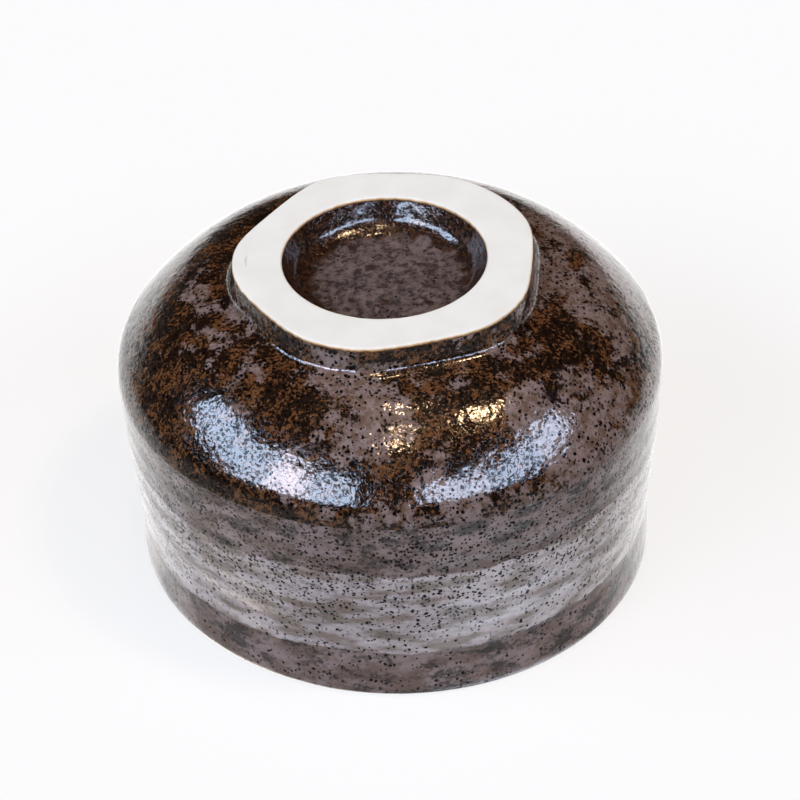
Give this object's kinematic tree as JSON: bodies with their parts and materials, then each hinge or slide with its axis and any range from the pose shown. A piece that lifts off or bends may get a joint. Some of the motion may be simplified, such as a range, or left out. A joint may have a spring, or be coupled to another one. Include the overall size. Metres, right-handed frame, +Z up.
{
  "type": "matcha bowl",
  "caption": "Handmade stoneware tea bowl with a nearly straight wall, a low bare foot ring, dark speckled glaze and a brushed white band.",
  "frame": {"origin": "middle of the foot ring's flat underside, at the lowest point of the bowl as it stands ready for use", "axes": "+Z up out of the mouth, along the axis the bowl was turned on; -Z out of the foot's flat face. -Y is the side shown in the reference view, which shows the bowl turned over on its lip"},
  "size_m": [0.1204, 0.1204, 0.0771],
  "materials": {
    "bare_clay": "matte unglazed off-white stoneware, toasted tan where it meets the glaze",
    "dark_glaze": "glossy dark chocolate iron glaze with rust breaks, mauve-grey mottling and dense black specks",
    "well_glaze": "glossy brown glaze pooled inside the foot, darker and rustier towards the wall",
    "mauve_glaze": "glossy mauve-brown glaze with dark grey clouds and fine black specks",
    "white_glaze": "greyish white brushed round in streaks over the brown, with fine black specks",
    "inner_glaze": "glossy mauve-brown glaze, darker where it pools on the floor"
  },
  "bodies": {
    "root": {"clay_bowl": "bare_clay", "foot_ring": "bare_clay", "foot_well_glaze": "well_glaze", "base_glaze": "dark_glaze", "wall_glaze": "mauve_glaze", "white_band": "white_glaze", "rim_glaze": "mauve_glaze", "inner_glaze": "inner_glaze"}
  },
  "joints": []
}
